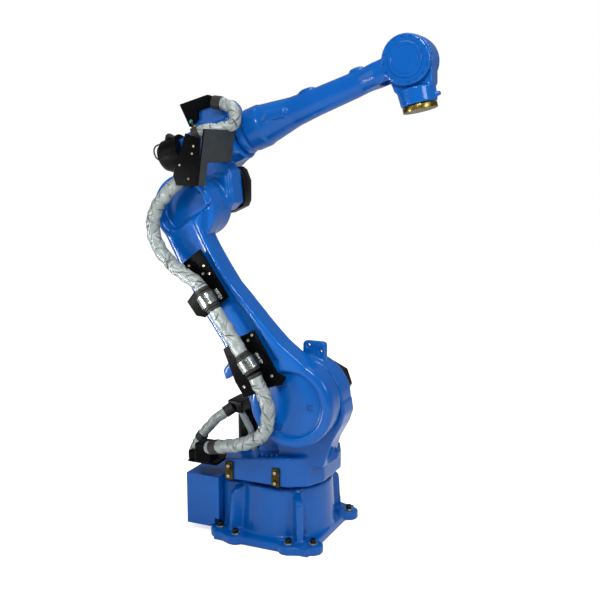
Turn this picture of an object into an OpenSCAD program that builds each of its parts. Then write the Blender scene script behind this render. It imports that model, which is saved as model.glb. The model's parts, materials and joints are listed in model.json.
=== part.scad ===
// Six-axis industrial robot arm on a bolted foot, posed with the lower arm leaning back.
// Millimetres, Z up, origin on the turning axis of the turret at the underside of the foot.
// X points to the front, the lower arm lies on the minus Y side.

/* [Foot] */
// thickness of the foot plate
foot_t = 45; // [35:5:60]
// half length of the foot plate, front to back
foot_x = 262; // [240:2:290]
// half width of the foot plate
foot_y = 312; // [290:2:340]
// radius of the lobes round the foot bolts
lobe_r = 50; // [40:2:60]
// front to back distance of the inner bolts from the centre
bolt_in_x = 146; // [130:2:160]
// sideways distance of the inner bolts from the centre
bolt_in_y = 285; // [270:1:300]
// front to back distance of the outer bolts from the centre
bolt_out_x = 257; // [240:1:270]
// sideways distance of the outer bolts from the centre
bolt_out_y = 237; // [220:1:250]
// foot bolt hole
bolt_hole_d = 22; // [18:1:26]

/* [Column] */
// height of the column's top face
column_h = 290; // [260:5:320]
// column radius at the foot plate
column_low_r = 256; // [250:1:270]
// column radius at the top
column_top_r = 241; // [236:1:250]
// thickness of the corner ribs
rib_t = 38; // [24:2:44]
// outer edge of the corner ribs, from the centre
rib_r = 326; // [310:2:340]
// depth of the connection box, front to back
box_depth = 188; // [160:4:220]
// half width of the connection box
box_half = 245; // [200:5:250]
// underside of the connection box
box_low = 35; // [30:1:40]
// top of the connection box above the column
box_rise = 15; // [5:1:16]

/* [Turret] */
// height of the bearing gap between the column and the turret flange
bearing_gap = 25; // [20:1:32]
// radius of the bearing ring under the flange
bearing_r = 228; // [210:2:236]
// thickness of the turret flange
flange_t = 105; // [90:5:120]
// half width of the turret flange
flange_side = 265; // [250:1:280]
// front edge of the turret flange
flange_front = 262; // [250:1:280]
// rear edge of the turret flange
flange_rear = 262; // [245:1:280]
// shoulder axis ahead of the turning axis
shoulder_x = 178; // [160:1:200]
// shoulder axis above the turret flange
shoulder_rise = 335; // [310:1:370]
// radius of the shoulder hub
shoulder_r = 213; // [205:1:220]
// far side of the shoulder hub
shoulder_far = -80; // [-90:5:-60]
// thickness of the lifting lug
lug_t = 34; // [24:2:40]
// radius of the lifting holes
lug_hole_r = 9; // [8:0.5:11]
// width of the gold stop plates
stop_w = 42; // [36:1:50]
// radius of the turret motor
turret_motor_r = 52; // [46:1:60]
// height of the turret motor
turret_motor_h = 190; // [170:5:210]

/* [Lower arm] */
// shoulder axis to elbow axis
arm_len = 1066; // [1000:2:1120]
// backward lean of the arm in the stored pose
arm_lean = 32.05; // [28:0.05:36]
// outer face of the arm's rim, sideways from the centre
arm_near = -340; // [-350:1:-330]
// depth of the web below the rim
web_deep = 28; // [20:1:36]
// inner face of the arm
arm_far = -215; // [-225:1:-205]
// radius of the arm's lower hub
arm_low_r = 213; // [205:1:220]
// radius of the arm's upper hub
arm_up_r = 166; // [160:1:172]
// radius of the round pocket in the lower hub
low_pocket_r = 158; // [140:1:165]
// depth of the lower pocket
low_pocket_deep = 30; // [24:1:36]
// radius of the pocket in the upper hub
up_pocket_r = 126; // [110:1:132]
// depth of the upper pocket
up_pocket_deep = 60; // [40:2:70]
// rounding of the hubs' outer edges
hub_round = 24; // [10:1:30]

/* [Upper arm] */
// radius of the elbow hub
elbow_r = 146; // [140:1:160]
// far side of the elbow hub
elbow_far = -20; // [-30:1:0]
// rise of the forearm's line in the stored pose
fore_pitch = 20.4; // [18:0.1:24]
// forearm's rolling axis above the elbow axis
roll_rise = 278; // [260:1:290]
// radius of the rolling-axis barrel
barrel_r = 118; // [112:1:124]
// front face of the barrel, ahead of the elbow
barrel_front = 268; // [260:1:275]
// radius of the drum motor behind the barrel
drum_r = 84; // [76:1:90]
// length of the drum motor
drum_len = 122; // [100:2:140]

/* [Forearm and wrist] */
// elbow axis to wrist axis, along the forearm
fore_len = 1188; // [1150:1:1280]
// radius of the forearm's bell
bell_r = 106; // [100:1:110]
// radius of the forearm next to the wrist
tube_r = 57; // [52:1:60]
// radius of the wrist's round body
wrist_r = 118; // [114:1:124]
// half width of the wrist body between the fork cheeks
wrist_half = 48; // [44:1:52]
// thickness of the fork cheeks
cheek_t = 27; // [22:1:34]
// radius of the round covers on the cheeks
cover_r = 80; // [70:1:90]
// forward tilt of the tool axis from straight down
tool_tilt = 13.5; // [0:0.5:20]
// wrist axis to flange face
tool_reach = 227; // [220:1:240]
// tool flange diameter
tool_d = 160; // [140:5:180]
// tool flange thickness
tool_t = 22; // [18:1:26]
// bolt circle of the tool flange
tool_pcd = 125; // [110:5:140]
// bolt hole of the tool flange
tool_hole_d = 10.2; // [9:0.1:11]

/* [Hoses] */
// radius of the silver sleeves
sleeve_r = 32; // [26:1:34]
// radius of the turret motor's sleeve
cable_r = 25; // [20:1:27]
// radius of the sleeve over the barrel
top_r = 29; // [24:1:31]
// gap between the arm's rim and the middle of its hose
hose_off = 60; // [56:1:66]
// first hose clamp above the shoulder axis, as a share of the arm's length
clamp_low_part = 0.244; // [0.235:0.001:0.26]
// distance between the two hose clamps, as a share of the arm's length
clamp_step_part = 0.336; // [0.32:0.001:0.35]
// length of a clamp's coupling
coupling_len = 84; // [70:2:96]
// reach of the hose shelf behind the turret
shelf_depth = 165; // [150:1:180]
// thickness of the black sheet-metal brackets
sheet_t = 8; // [5:1:10]

/* [Hidden] */
// a joint's bearing seat, and the air that moving pieces keep
seat_gap = 0.3;
run_gap = 5;
// heights and axes that follow from the sizes
box_top = column_h + box_rise;
flange_low = column_h + bearing_gap;
flange_top = flange_low + flange_t;
shoulder_z = flange_top + shoulder_rise;
elbow_x = shoulder_x - arm_len * sin(arm_lean);
elbow_z = shoulder_z + arm_len * cos(arm_lean);
wrist_x = elbow_x + fore_len * cos(fore_pitch) - roll_rise * sin(fore_pitch);
wrist_z = elbow_z + fore_len * sin(fore_pitch) + roll_rise * cos(fore_pitch);
hub_near = arm_far + run_gap;
seat_near = arm_far + seat_gap;
hose_y = arm_near - hose_off;
web_near = arm_near + web_deep;
clamp_low = clamp_low_part * arm_len;
clamp_step = clamp_step_part * arm_len;
cheek_in = wrist_half + run_gap;
cheek_out = cheek_in + cheek_t;
bracket_near = arm_near - 20;
hose_turn = 4;
hose_v = -51;
hose_gap = 10;
blue = [0.10, 0.28, 0.62];
black = [0.03, 0.03, 0.035];
silver = [0.66, 0.68, 0.67];
gold = [0.62, 0.52, 0.22];
grey = [0.45, 0.44, 0.40];
round_fn = 96;
hose_fn = 10;

// world points from the lower arm's frame and from the forearm's frame
function arm_at(s, v, y) = [shoulder_x - s * sin(arm_lean) + v * cos(arm_lean), y,
    shoulder_z + s * cos(arm_lean) + v * sin(arm_lean)];
function fore_at(x, y, z) = [elbow_x + x * cos(fore_pitch) - z * sin(fore_pitch), y,
    elbow_z + x * sin(fore_pitch) + z * cos(fore_pitch)];

// shelf for the hose clamp behind the turret
shelf_t = 12;
shelf_x = -flange_rear - shelf_depth;
shelf_y = -flange_side;
shelf_z = flange_low + 57;

// hose routes, each from the fixed end that comes first
lower_start = clamp_low - coupling_len / 2 - hose_gap;
upper_start = clamp_low + clamp_step + coupling_len / 2 + hose_gap / 5;
lower_route = [arm_at(lower_start, hose_v, hose_y), arm_at(lower_start - 43, hose_v - 4, hose_y),
    [shoulder_x - 90, hose_y, shoulder_z + 25], [shoulder_x - 80, hose_y, shoulder_z - 55],
    [shoulder_x - 106, hose_y, shoulder_z - 133], [0, hose_y + 8, flange_top + 152],
    [-90, hose_y + 30, flange_top + 115], [-190, hose_y + 55, flange_top + 88],
    [-flange_rear - 13, hose_y + 88, flange_top + 60]];
upper_route = [arm_at(upper_start, hose_v - 27, hose_y), arm_at(upper_start + 45, hose_v - 32, hose_y),
    arm_at(0.729 * arm_len, -119, hose_y), arm_at(0.799 * arm_len, -154, hose_y),
    arm_at(0.895 * arm_len, -176, hose_y), arm_at(0.983 * arm_len, -156, hose_y),
    arm_at(arm_len + 51, -98, hose_y + 5), fore_at(-24, hose_y + 13, 85), fore_at(75, hose_y + 18, 123)];
turret_route = [[-232, -140, flange_top + 228], [-300, -192, flange_top + 172], [-358, -204, flange_top + 104],
    [-406, -206, flange_top + 34], [shelf_x - 3, -208, shelf_z + shelf_t + 20]];
top_route = [fore_at(barrel_front - 132, -250, roll_rise + 42),
    fore_at(barrel_front - 74, -230, roll_rise + 44),
    fore_at(barrel_front - 12, -200, roll_rise + 30), fore_at(barrel_front + 40, -172, roll_rise + 27),
    fore_at(barrel_front + 67, -152, roll_rise + 56), fore_at(barrel_front + 61, -142, roll_rise + 103),
    fore_at(barrel_front + 23, -134, roll_rise + 144), fore_at(barrel_front - 30, -132, roll_rise + 175)];

function unit(v) = v / norm(v);
function at(p, i) = p[max(0, min(len(p) - 1, i))];
function curve(a, b, c, d, t) =
    0.5 * (2 * b + (c - a) * t + (2 * a - 5 * b + 4 * c - d) * t * t + (3 * b - a - 3 * c + d) * t * t * t);
function smooth(p, steps) = concat(
    [for (i = [0 : len(p) - 2], k = [0 : steps - 1])
        curve(at(p, i - 1), at(p, i), at(p, i + 1), at(p, i + 2), k / steps)],
    [p[len(p) - 1]]);
function heading(p, i) = unit(at(p, i + 1) - at(p, i - 1));
function ring(p, i, r, lead) =
    let (t = heading(p, i), a = unit(cross(t, lead)), b = cross(t, a))
    [for (k = [0 : hose_fn - 1]) p[i] + r * (cos(360 * k / hose_fn) * a + sin(360 * k / hose_fn) * b)];
function around(n) = [for (i = [0 : n - 2], k = [0 : hose_fn - 1])
    let (m = (k + 1) % hose_fn)
    [i * hose_fn + k, i * hose_fn + m, (i + 1) * hose_fn + m, (i + 1) * hose_fn + k]];
function backwards(p) = [for (k = [1 : len(p)]) p[len(p) - k]];
// quarter arc of an edge that is rounded: radius r, outer radius out, face at height zero
function edge_arc(out, r) = [for (k = [0 : 4]) [out - r + r * sin(22.5 * k), r - r * cos(22.5 * k)]];

// round sleeve along a route, lead is a direction that the route never takes
module sleeve(route, r, lead) {
    path = smooth(route, 2);
    n = len(path);
    points = [for (i = [0 : n - 1]) each ring(path, i, r, lead)];
    first = [[for (k = [0 : hose_fn - 1]) hose_fn - 1 - k]];
    last = [[for (k = [0 : hose_fn - 1]) (n - 1) * hose_fn + k]];
    polyhedron(points, concat(around(n), first, last));
}

// frame of the lower arm: X along the arm, Y to its front edge, Z across
module in_arm() translate([shoulder_x, 0, shoulder_z]) rotate([-90, -90 - arm_lean, 0]) children();

// frame of the hose on the arm: Z along it, minus X towards the arm
module in_hose() in_arm() translate([clamp_low, hose_v, hose_y]) rotate([0, 0, -hose_turn]) rotate([0, 90, 0])
    children();

// frame of the forearm: origin on the elbow axis, X along the forearm, Z up from it
module in_fore() translate([elbow_x, 0, elbow_z]) rotate([0, -fore_pitch, 0]) children();

// frame of the wrist: origin on the wrist axis, Z out along the tool axis
module in_wrist() translate([wrist_x, 0, wrist_z]) rotate([0, 180 - tool_tilt, 0]) children();

// cylinder along Y between two sideways stations
module across(r, y0, y1) translate([0, y1, 0]) rotate([90, 0, 0]) cylinder(r = r, h = y1 - y0, $fn = round_fn);

// outline in X and Z given depth between two sideways stations
module slab(points, y0, y1) translate([0, y1, 0]) rotate([90, 0, 0]) linear_extrude(y1 - y0) polygon(points);

// outline of the lower arm's frame given depth between two sideways stations
module plate(points, y0, y1) translate([0, 0, y0]) linear_extrude(y1 - y0) polygon(points);

module foot_outline() {
    away = unit([bolt_in_y - bolt_out_y, bolt_out_x - bolt_in_x]) * lobe_r;
    square([2 * foot_x, 2 * foot_y], center = true);
    for (sx = [-1, 1], sy = [-1, 1]) {
        scale([sx, sy]) {
            translate([bolt_in_x, bolt_in_y]) circle(lobe_r, $fn = 48);
            translate([bolt_out_x, bolt_out_y]) circle(lobe_r, $fn = 48);
            polygon([[bolt_in_x + away[0], bolt_in_y + away[1]], [bolt_out_x + away[0], bolt_out_y + away[1]],
                [bolt_out_x, bolt_out_y], [bolt_in_x, bolt_out_y - lobe_r], [bolt_in_x, bolt_in_y]]);
        }
    }
}

// corner rib: upright outer edge with a slight slope, a shoulder, then in to the column
module corner_rib() {
    rib_top = column_h * 0.94;
    rotate([90, 0, 0]) translate([0, 0, -rib_t / 2]) linear_extrude(rib_t)
        polygon([[0, foot_t / 2], [rib_r, foot_t / 2], [rib_r - 16, column_h * 0.8],
            [rib_r - 34, column_h * 0.87], [column_top_r - 6, rib_top], [0, rib_top]]);
}

module base_casting() color(blue) {
    rib_turn = atan2(bolt_in_y + bolt_out_y, bolt_in_x + bolt_out_x);
    block_half = box_half * 0.8;
    ring_top = flange_low - 2 * run_gap - seat_gap;
    difference() {
        union() {
            linear_extrude(foot_t) foot_outline();
            translate([0, 0, foot_t])
                cylinder(r1 = column_low_r, r2 = column_top_r, h = column_h - foot_t, $fn = round_fn);
            cylinder(r = bearing_r * 0.7, h = ring_top, $fn = round_fn);
            for (turn = [rib_turn, 180 - rib_turn, 180 + rib_turn, -rib_turn]) {
                rotate([0, 0, turn]) corner_rib();
            }
            translate([-foot_x, -block_half, foot_t - 1])
                cube([foot_x, 2 * block_half, column_h - foot_t - 10]);
        }
        for (sx = [-1, 1], sy = [-1, 1]) {
            translate([sx * bolt_in_x, sy * bolt_in_y, -1])
                cylinder(d = bolt_hole_d, h = foot_t + 2, $fn = 32);
            translate([sx * bolt_out_x, sy * bolt_out_y, -1])
                cylinder(d = bolt_hole_d, h = foot_t + 2, $fn = 32);
        }
    }
}

// box of sheet metal behind the column, notched over the rear foot bolts
module connection_box() color(blue) {
    lobe_air = 3;
    bolt_air = 32;
    bolt_head = 36;
    difference() {
        translate([-foot_x - box_depth, -box_half, box_low])
            cube([box_depth, 2 * box_half, box_top - box_low]);
        for (side = [-1, 1]) {
            translate([-bolt_out_x, side * bolt_out_y, 0]) {
                cylinder(r = lobe_r + lobe_air, h = foot_t + lobe_air, $fn = round_fn);
                cylinder(r = bolt_air, h = foot_t + bolt_head, $fn = 48);
            }
        }
    }
}

// flange outline: flat rear and front, straight sides, two bevels at each front corner
module flange_outline() {
    rear_flat = 150;
    front_flat = 110;
    side_rear = flange_rear - 52;
    side_front = flange_front - 132;
    corner = [flange_front - 47, flange_side - 50];
    half = [[flange_front, front_flat], corner, [side_front, flange_side], [-side_rear, flange_side],
        [-flange_rear, rear_flat]];
    polygon(concat(half, backwards([for (p = half) [p[0], -p[1]]])));
}

// lifting lug over the shoulder hub, with bevelled corners and two holes
module lifting_lug() {
    hub_top = shoulder_z + shoulder_r;
    lug_y = -150;
    rear = shoulder_x - 2;
    front = shoulder_x + 117;
    top = hub_top + 70;
    difference() {
        slab([[rear, hub_top - 40], [rear, top - 10], [rear + 12, top], [front - 12, top], [front, top - 10],
            [front, hub_top - 90]], lug_y - lug_t, lug_y);
        translate([shoulder_x + 28, 0, hub_top + 48]) across(lug_hole_r, lug_y - lug_t - 1, lug_y + 1);
        translate([shoulder_x + 90, 0, hub_top + 22]) across(lug_hole_r, lug_y - lug_t - 1, lug_y + 1);
    }
}

module turret_casting() color(blue) {
    neck_half = 60;
    ledge = 60;
    fairing = 58;
    fairing_far = -105;
    small_lug_y = -110;
    low = flange_top - 1;
    hub_front = shoulder_x + shoulder_r;
    translate([0, 0, flange_low]) linear_extrude(flange_t) flange_outline();
    translate([0, 0, flange_low - 2 * run_gap]) cylinder(r = bearing_r, h = 2 * run_gap, $fn = round_fn);
    translate([shoulder_x, 0, shoulder_z]) {
        across(shoulder_r, hub_near, shoulder_far);
        across(low_pocket_r * 0.7, seat_near, hub_near);
    }
    intersection() {
        translate([0, 0, flange_low]) linear_extrude(flange_t + fairing) flange_outline();
        slab([[-200, low], [-100, flange_top + 15], [0, flange_top + 32], [90, flange_top + 43],
            [flange_front, flange_top + fairing], [flange_front, low]], -flange_side - 1, fairing_far);
    }
    slab([[70, low], [flange_front + 30, low], [flange_front + 78, flange_top + 140],
        [hub_front - 7, flange_top + 220], [hub_front + 13, flange_top + 280], [hub_front + 5, shoulder_z],
        [shoulder_x, shoulder_z], [20, flange_top + 240], [40, flange_top + 120]], hub_near, shoulder_far);
    slab([[-70, low], [80, low], [80, flange_top + 240], [-20, flange_top + 260], [-50, flange_top + 140]],
        hub_near + ledge, shoulder_far);
    slab([[-40, low], [flange_front - 20, low], [flange_front + 38, flange_top + 180], [shoulder_x, shoulder_z],
        [40, flange_top + 220], [0, flange_top + 100]], shoulder_far, neck_half);
    slab([[flange_front - 20, low], [flange_front + 30, low], [flange_front + 84, flange_top + 40],
        [flange_front + 88, flange_top + 76], [flange_front + 48, flange_top + 84]],
        small_lug_y - 36, small_lug_y);
    lifting_lug();
}

// stop plate screwed to the flange's near side
module stop_plate(x) {
    depth = 12;
    tall = flange_t - 13;
    translate([x - stop_w / 2, -flange_side - depth, flange_low + 2]) cube([stop_w, depth, tall]);
}

module stop_plate_rear() color(gold) stop_plate(78 - flange_rear);

module stop_plate_front() color(gold) stop_plate(flange_front - 190);

// upright motor on the rear of the turret flange
turret_motor_x = 66 - flange_rear;
turret_motor_y = -40;
turret_motor_foot = 14;

module turret_motor() color(grey) translate([turret_motor_x, turret_motor_y, flange_top]) {
    cylinder(r = turret_motor_r + 6, h = turret_motor_foot, $fn = round_fn);
    translate([0, 0, turret_motor_foot])
        cylinder(r = turret_motor_r, h = turret_motor_h - turret_motor_foot, $fn = round_fn);
}

module turret_motor_connector() color(black) {
    cap = 14;
    cap_half = 44;
    head = [84, 140, 62];
    head_front = 24;
    translate([turret_motor_x, turret_motor_y, flange_top + turret_motor_h]) {
        translate([-cap_half, -cap_half, 0]) cube([2 * cap_half, 2 * cap_half, cap]);
        translate([head_front - head[0], -head[1] + 30, cap]) cube(head);
    }
}

// motor behind the shoulder hub: round flange, eight-sided body and a smaller end cap
module shoulder_motor() color(black) {
    face = 60;
    flange = 22;
    side = 108;
    cut = 40;
    shrink = 0.86;
    long = 150;
    motor = [[side, cut], [cut, side], [-cut, side], [-side, cut], [-side, -cut], [-cut, -side], [cut, -side],
        [side, -cut]];
    translate([shoulder_x, face, shoulder_z]) rotate([0, -20, 0]) {
        across(side + 20, 0, flange);
        slab(motor, flange, long - 30);
        slab(motor * shrink, long - 30, long);
    }
}

// shelf and upright foot that carry the hose clamp behind the turret
module rear_hose_bracket() color(black) {
    foot_y0 = -150;
    foot_w = 37;
    translate([shelf_x, shelf_y, shelf_z]) cube([shelf_depth, foot_y0 + foot_w - shelf_y, shelf_t]);
    translate([-flange_rear - shelf_t, foot_y0, flange_low + 12]) cube([shelf_t, foot_w, 80]);
}

// two clamp blocks: a low one for the motor's hose and a tall one for the arm's hose
module rear_hose_clamp() color(black) {
    low_block = [100, 110, 48];
    tall_block = [88, 95, 96];
    tall_near = shelf_y - 70;
    tall_lift = 22;
    translate([shelf_x, shelf_y, shelf_z + shelf_t]) cube(low_block);
    translate([-flange_rear - 83, tall_near, shelf_z + shelf_t + tall_lift]) cube(tall_block);
}

module turret_hose() color(silver) sleeve(turret_route, cable_r, [0, 1, 0]);

// edges of the lower arm as shares of its length and distances from its axis line
front_edge = [[0.944, 96], [0.897, 58], [0.859, 36], [0.784, 32], [0.690, 33], [0.597, 38], [0.503, 58],
    [0.404, 78], [0.315, 98], [0.250, 116], [0.184, 144], [0.118, 172]];
rear_edge = [[0.750, -184], [0.582, -188], [0.394, -176], [0.206, -186]];
ridge_edge = [[0.111, 108], [0.169, 62], [0.228, 50], [0.425, 40], [0.564, 12], [0.681, 6], [0.806, 8],
    [0.929, 16]];

function stations(edge) = [for (p = edge) [p[0] * arm_len, p[1]]];

// round hub with its outer edge rounded off, standing on the arm's inner face
module hub(r) translate([0, 0, arm_near]) rotate_extrude($fn = round_fn)
    polygon(concat([[0, 0]], edge_arc(r, hub_round), [[r, arm_far - arm_near], [0, arm_far - arm_near]]));

// half of the upper hub that lies past the web's straight edge
module past_edge(deep) {
    web_edge = 57;
    translate([-web_edge, -arm_up_r, arm_near]) cube([2 * arm_up_r, 2 * arm_up_r, deep]);
}

module lower_arm_casting() color(blue) {
    front = stations(front_edge);
    rear = concat([[0, -arm_low_r]], backwards(stations(rear_edge)), [[arm_len, -arm_up_r]]);
    lug = 46;
    in_arm() difference() {
        union() {
            plate(concat([[arm_len, arm_up_r * 0.85]], front, [[0, arm_low_r * 0.95]], rear),
                web_near, arm_far);
            plate(concat(front, stations(ridge_edge)), arm_near, arm_far);
            hub(arm_low_r);
            translate([arm_len, 0, web_near]) cylinder(r = arm_up_r, h = arm_far - web_near, $fn = round_fn);
            translate([arm_len, 0, 0]) intersection() {
                hub(arm_up_r);
                past_edge(arm_far - arm_near + 1);
            }
            plate([[clamp_low - 4, -180], [clamp_low - 4, -276], [clamp_low + lug, -262],
                [clamp_low + lug + 30, -180]], arm_far - 75, arm_far - 25);
        }
        translate([0, 0, arm_near - 1]) cylinder(r = low_pocket_r, h = low_pocket_deep + 1, $fn = round_fn);
        translate([arm_len, 0, arm_near - 1]) intersection() {
            cylinder(r = up_pocket_r, h = up_pocket_deep + 1, $fn = round_fn);
            translate([0, 0, -arm_near]) past_edge(up_pocket_deep + 1);
        }
    }
}

module lower_hub_cover() color(blue) {
    disc_t = 10;
    ring = 8;
    in_arm() translate([0, 0, arm_near + low_pocket_deep - disc_t])
        cylinder(r = low_pocket_r - ring, h = disc_t, $fn = round_fn);
}

// sheet-metal bracket on two posts that stand on the web
module arm_bracket(outline, posts) {
    post_r = 20;
    behind = bracket_near + sheet_t;
    in_arm() {
        plate(outline, bracket_near, behind);
        for (p = posts) {
            translate([p[0], p[1], behind]) cylinder(r = post_r, h = web_near - behind, $fn = 32);
        }
    }
}

module lower_hose_bracket() color(black) {
    base = [clamp_low, hose_v];
    arm_bracket([for (p = [[125, -107], [135, -6], [127, 91], [-98, 91], [-139, 119], [-160, 82], [-136, 5],
        [-132, -89], [-124, -131], [-40, -135]]) base + p], [base + [70, -49], base + [10, -89]]);
}

module upper_hose_bracket() color(black) {
    base = [clamp_low + clamp_step, hose_v];
    arm_bracket([for (p = [[231, 44], [-35, 58], [-47, -35], [-57, -111], [-28, -149], [54, -157], [76, -95],
        [221, -87]]) base + p], [base + [172, -9], base + [22, -69]]);
}

// coupling of a hose clamp: round shell with raised end bands, and a foot on the bracket
module coupling(start) {
    shell = sleeve_r + 5;
    band = 20;
    foot_r = hose_y - bracket_near;
    foot_half = 22;
    in_hose() translate([0, 0, start]) {
        cylinder(r = shell, h = coupling_len, $fn = 48);
        cylinder(r = shell + 3, h = band, $fn = 48);
        translate([0, 0, coupling_len - band]) cylinder(r = shell + 3, h = band, $fn = 48);
        translate([foot_r, -foot_half, 0]) cube([-foot_r / 2, 2 * foot_half, coupling_len]);
    }
}

module lower_coupling() color(silver) coupling(-coupling_len / 2);

module upper_coupling() color(silver) coupling(clamp_step - coupling_len / 2);

module arm_hose() color(silver) {
    in_hose() translate([0, 0, coupling_len / 2])
        cylinder(r = sleeve_r, h = clamp_step - coupling_len, $fn = 32);
}

module lower_hose() color(silver) sleeve(lower_route, sleeve_r, [0, 1, 0]);

module upper_hose() color(silver) sleeve(upper_route, sleeve_r, [1, 0, 0.3]);

// near side of the elbow housing's body, and the rear end of its barrel
body_near = -130;
barrel_rear = -20;

module upper_arm_housing() color(blue) {
    barrel_top = roll_rise + 80;
    dome_half = 100;
    chin = roll_rise - 86;
    dome_low = roll_rise + 40;
    ring_t = 18;
    in_fore() {
        across(elbow_r, hub_near, body_near + 30);
        across(elbow_r * 0.5, seat_near, hub_near);
        slab([[110, -60], [165, -40], [206, 111], [182, 168], [barrel_front, chin], [barrel_front, barrel_top],
            [barrel_rear, barrel_top], [barrel_rear, 190], [-130, 60], [-130, -40]], body_near, elbow_far);
        slab([[150, 150], [barrel_front, chin], [barrel_front, barrel_top], [barrel_rear, barrel_top],
            [barrel_rear, 200], [60, 150]], elbow_far, -body_near - 20);
        slab([[70, -40], [150, -30], [184, 100], [120, 130]], body_near - 22, body_near);
        translate([0, 0, roll_rise]) rotate([0, 90, 0]) {
            translate([0, 0, barrel_rear])
                cylinder(r = barrel_r, h = barrel_front - barrel_rear, $fn = round_fn);
            translate([0, 0, barrel_front - ring_t]) cylinder(r = barrel_r + 5, h = ring_t, $fn = round_fn);
            translate([0, 0, barrel_front - 1]) cylinder(r = tube_r, h = run_gap + 1, $fn = round_fn);
        }
        slab([[50, dome_low], [60, roll_rise + 202], [190, roll_rise + 212], [240, roll_rise + 196],
            [barrel_front - 6, roll_rise + 158], [barrel_front, dome_low]], -dome_half, dome_half);
    }
}

// motor on the far side of the elbow: body with a chamfered end
module elbow_motor() color(black) {
    outline = [[30, -40], [60, -64], [150, -58], [172, -36], [208, 60], [206, 118], [190, 140], [60, 145],
        [30, 120]];
    middle = [115, 40];
    long = 92;
    end = 20;
    in_fore() {
        slab(outline, elbow_far, elbow_far + long - end);
        slab([for (p = outline) middle + 0.88 * (p - middle)], elbow_far + long - end, elbow_far + long);
    }
}

// drum motor behind the barrel, with a stepped end cap
module wrist_motor() color(black) {
    drum_y = -100;
    cap = 24;
    in_fore() translate([barrel_rear, drum_y, roll_rise + 26]) rotate([0, -90, 0]) {
        cylinder(r = drum_r, h = drum_len - cap, $fn = round_fn);
        translate([0, 0, drum_len - cap]) cylinder(r1 = drum_r - 4, r2 = drum_r - 16, h = cap, $fn = round_fn);
    }
}

// bent plate that carries the hose over the elbow: near flange, short return and a web to the housing's side
module hose_plate() color(black) {
    near = hose_y - 20;
    fold = [226, 152];
    tip = [174, 56];
    far_end = [300, 284];
    in_fore() {
        slab([[196, 303], [62, 147], [61, 99], [150, 61], tip, [262, 253]], near, near + sheet_t);
        slab([tip - [sheet_t, 0], tip, fold, fold - [sheet_t, 0]], near, arm_near - 17);
        slab([fold - [sheet_t, 0], fold, far_end, far_end - [sheet_t, -4]], near, body_near);
    }
}

// plate on the near side of the dome, open at its lower front corner
module top_plate() color(black) {
    plate_near = -124;
    top = roll_rise + 238;
    in_fore() slab([[48, top], [213, top - 14], [258, top - 52], [206, top - 71], [130, top - 64],
        [118, top - 104], [62, top - 124]], plate_near, -100);
}

module top_hose() color(silver) sleeve(top_route, top_r, [0, 1, 0]);

// forearm: flanged bell, long taper, two bosses on top, a pad on each side, and a fork for the wrist
module forearm_casting() color(blue) {
    start = barrel_front + run_gap + seat_gap;
    slot = 160;
    fork_in = fore_len - slot;
    flare = 90;
    arm_half = tube_r - 4;
    cheek_r = wrist_r - 2;
    bosses = [[0.56, 40, tube_r + 19], [0.785, 35, tube_r + 13]];
    pad_near = bell_r - 8;
    groove = 12;
    step = 5;
    in_fore() translate([0, 0, roll_rise]) {
        rotate([0, 90, 0]) rotate_extrude($fn = round_fn)
            polygon([[0, start], [bell_r - 2, start], [bell_r - 2, start + 34], [bell_r - groove, start + 36],
                [bell_r - groove, start + 46], [bell_r, start + 50], [bell_r, start + 128],
                [bell_r - step, start + 132], [bell_r - 16, start + 200], [tube_r + 16, start + 300],
                [tube_r + 9, start + 420], [tube_r + 4, start + 620], [tube_r, fork_in - 60],
                [tube_r, fork_in], [0, fork_in]]);
        for (b = bosses) {
            translate([b[0] * fore_len, 0, 0]) cylinder(r = b[1], h = b[2], $fn = 48);
        }
        for (side = [-1, 1]) {
            slab([[start + 162, -3], [start + 179, 41], [start + 289, 17], [start + 275, -21]],
                side * pad_near / 2 - pad_near / 2, side * pad_near / 2 + pad_near / 2);
        }
        difference() {
            intersection() {
                rotate([0, 90, 0]) rotate_extrude($fn = round_fn)
                    polygon([[0, fork_in - flare], [tube_r - 1, fork_in - flare], [cheek_out, fork_in],
                        [cheek_out, fore_len], [0, fore_len]]);
                translate([0, -cheek_out, -arm_half]) cube([fore_len, 2 * cheek_out, 2 * arm_half]);
            }
            translate([fork_in, -cheek_in, -cheek_out]) cube([slot, 2 * cheek_in, 2 * cheek_out]);
        }
        translate([fore_len, 0, 0]) {
            across(cheek_r, -cheek_out, -cheek_in);
            across(cheek_r, cheek_in, cheek_out);
            across(tube_r, -cheek_in, -wrist_half - seat_gap);
            across(tube_r, wrist_half + seat_gap, cheek_in);
        }
    }
}

cover_t = 8;

module wrist_cover_near() color(blue) {
    translate([wrist_x, 0, wrist_z]) across(cover_r, -cheek_out - cover_t, -cheek_out);
}

module wrist_cover_far() color(blue) {
    translate([wrist_x, 0, wrist_z]) across(cover_r, cheek_out, cheek_out + cover_t);
}

// wrist: round body between the cheeks, flaring below them to the drum that carries the flange
module wrist_housing() color(blue) {
    drum_top_r = tool_d / 2 + 10;
    drum_end_r = tool_d / 2 + 4;
    drum_start = wrist_r + 8;
    drum_end = tool_reach - tool_t - run_gap;
    lug_low = drum_end - 40;
    in_wrist() {
        across(wrist_r, -wrist_half, wrist_half);
        slab([[-wrist_r * 0.9, wrist_r * 0.4], [-drum_top_r, drum_start], [-drum_top_r * 0.6, drum_start + 30],
            [drum_top_r * 0.6, drum_start + 30], [drum_top_r, drum_start], [wrist_r * 0.9, wrist_r * 0.4]],
            -wrist_half, wrist_half);
        translate([0, 0, drum_start])
            cylinder(r1 = drum_top_r, r2 = drum_end_r, h = drum_end - drum_start, $fn = round_fn);
        translate([0, 0, drum_end - 1]) cylinder(r = tool_d / 4, h = run_gap + 1 - seat_gap, $fn = round_fn);
        slab([[-drum_end_r - 22, lug_low + 4], [-drum_end_r - 22, lug_low + 22],
            [-drum_end_r / 2, lug_low + 30], [-drum_end_r / 2, lug_low]], -14, 14);
    }
}

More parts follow.
